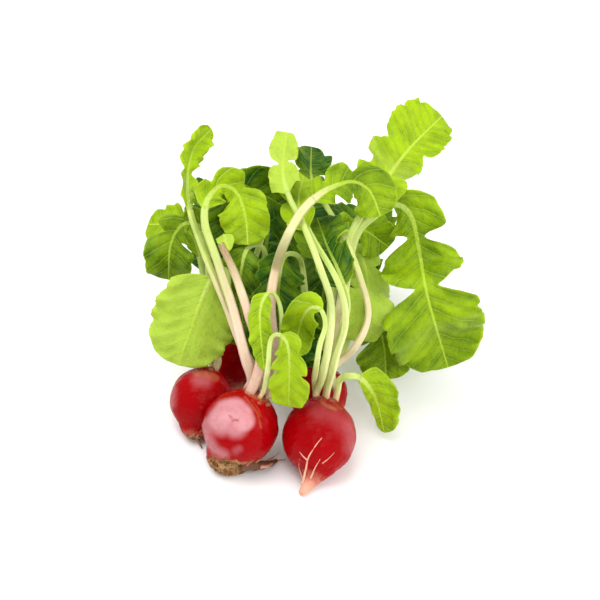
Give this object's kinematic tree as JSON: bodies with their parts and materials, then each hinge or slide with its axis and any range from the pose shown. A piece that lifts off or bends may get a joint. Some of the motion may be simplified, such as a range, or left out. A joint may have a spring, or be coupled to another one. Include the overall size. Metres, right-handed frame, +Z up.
{
  "type": "bunch of radishes",
  "caption": "Bunch of round red radishes with tapering roots, pale arching leaf stalks and lobed, toothed green leaves, lying on a table.",
  "frame": {"origin": "middle of the bunch's bounding box on the plane that it lies on", "axes": "+Z up from the table, +Y from the roots towards the leaf tips, +X to the right as seen from the roots"},
  "size_m": [0.1738, 0.2184, 0.1221],
  "materials": {
    "red_skin": "smooth, slightly glossy red skin",
    "pale_stalk": "satin, ribbed pale stalk",
    "leaf_green": "matt, crinkled green leaf"
  },
  "bodies": {
    "root": {"blade_arched": "leaf_green", "blade_back_first": "leaf_green", "blade_back_right": "leaf_green", "blade_back_second": "leaf_green", "blade_back_third": "leaf_green", "blade_curly_top": "leaf_green", "blade_dark_hanging": "leaf_green", "blade_dark_top": "leaf_green", "blade_dark_upper": "leaf_green", "blade_front_blade": "leaf_green", "blade_front_pointed": "leaf_green", "blade_front_right": "leaf_green", "blade_front_small": "leaf_green", "blade_inner_left": "leaf_green", "blade_inner_right": "leaf_green", "blade_left_crown": "leaf_green", "blade_left_flag": "leaf_green", "blade_left_round": "leaf_green", "blade_left_tall": "leaf_green", "blade_left_upper": "leaf_green", "blade_pale_top": "leaf_green", "blade_right_hanging": "leaf_green", "blade_right_low": "leaf_green", "blade_right_mid": "leaf_green", "blade_right_pale": "leaf_green", "blade_right_tall": "leaf_green", "blade_small_upper": "leaf_green", "root_back": "red_skin", "root_front_left": "red_skin", "root_front_right": "red_skin", "root_left": "red_skin", "root_middle": "red_skin", "stalk_arched": "pale_stalk", "stalk_back_first": "pale_stalk", "stalk_back_right": "pale_stalk", "stalk_back_second": "pale_stalk", "stalk_back_third": "pale_stalk", "stalk_curly_top": "pale_stalk", "stalk_dark_hanging": "pale_stalk", "stalk_dark_top": "pale_stalk", "stalk_dark_upper": "pale_stalk", "stalk_front_blade": "pale_stalk", "stalk_front_pointed": "pale_stalk", "stalk_front_right": "pale_stalk", "stalk_front_small": "pale_stalk", "stalk_inner_left": "pale_stalk", "stalk_inner_right": "pale_stalk", "stalk_left_crown": "pale_stalk", "stalk_left_flag": "pale_stalk", "stalk_left_round": "pale_stalk", "stalk_left_tall": "pale_stalk", "stalk_left_upper": "pale_stalk", "stalk_pale_top": "pale_stalk", "stalk_right_hanging": "pale_stalk", "stalk_right_low": "pale_stalk", "stalk_right_mid": "pale_stalk", "stalk_right_pale": "pale_stalk", "stalk_right_tall": "pale_stalk", "stalk_small_upper": "pale_stalk", "stalk_snapped": "pale_stalk"}
  },
  "joints": []
}
